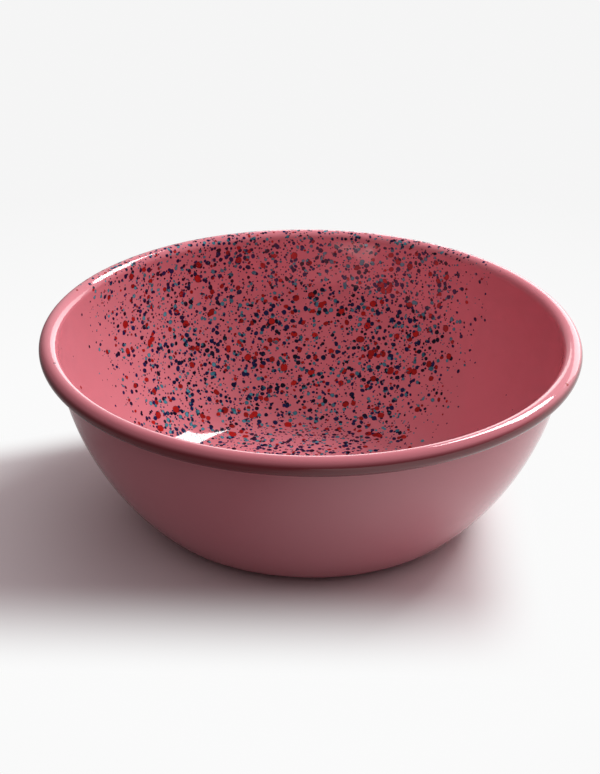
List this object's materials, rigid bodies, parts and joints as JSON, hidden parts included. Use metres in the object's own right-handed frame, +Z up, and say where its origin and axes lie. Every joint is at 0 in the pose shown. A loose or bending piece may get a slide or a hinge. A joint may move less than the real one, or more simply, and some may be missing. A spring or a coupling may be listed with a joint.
{
  "type": "salad bowl",
  "caption": "Round pressed-steel salad bowl with a flat base, a curved side and a rolled hollow rim, coated in pink vitreous enamel with coloured splatter inside.",
  "frame": {"origin": "centre of the flat that the bowl stands on", "axes": "+Z up along the bowl's axis, through its mouth; -Y towards the viewer of the picture"},
  "size_m": [0.28, 0.28, 0.1],
  "materials": {
    "sheet_steel": "pickled deep-drawing steel sheet, hidden under the enamel",
    "ground_enamel": "dark blue-black ground coat, hidden under the cover coat",
    "pink_enamel": "glossy pink vitreous enamel",
    "dark_blue_enamel": "glossy dark blue drops, fused into the pink",
    "blue_green_enamel": "glossy blue-green drops, fused into the pink",
    "red_enamel": "glossy red drops, fused into the pink"
  },
  "bodies": {
    "root": {"pressed_steel_bowl": "sheet_steel", "inside_ground_coat": "ground_enamel", "outside_ground_coat": "ground_enamel", "inside_cover_enamel": "pink_enamel", "outside_cover_enamel": "pink_enamel"}
  },
  "joints": []
}
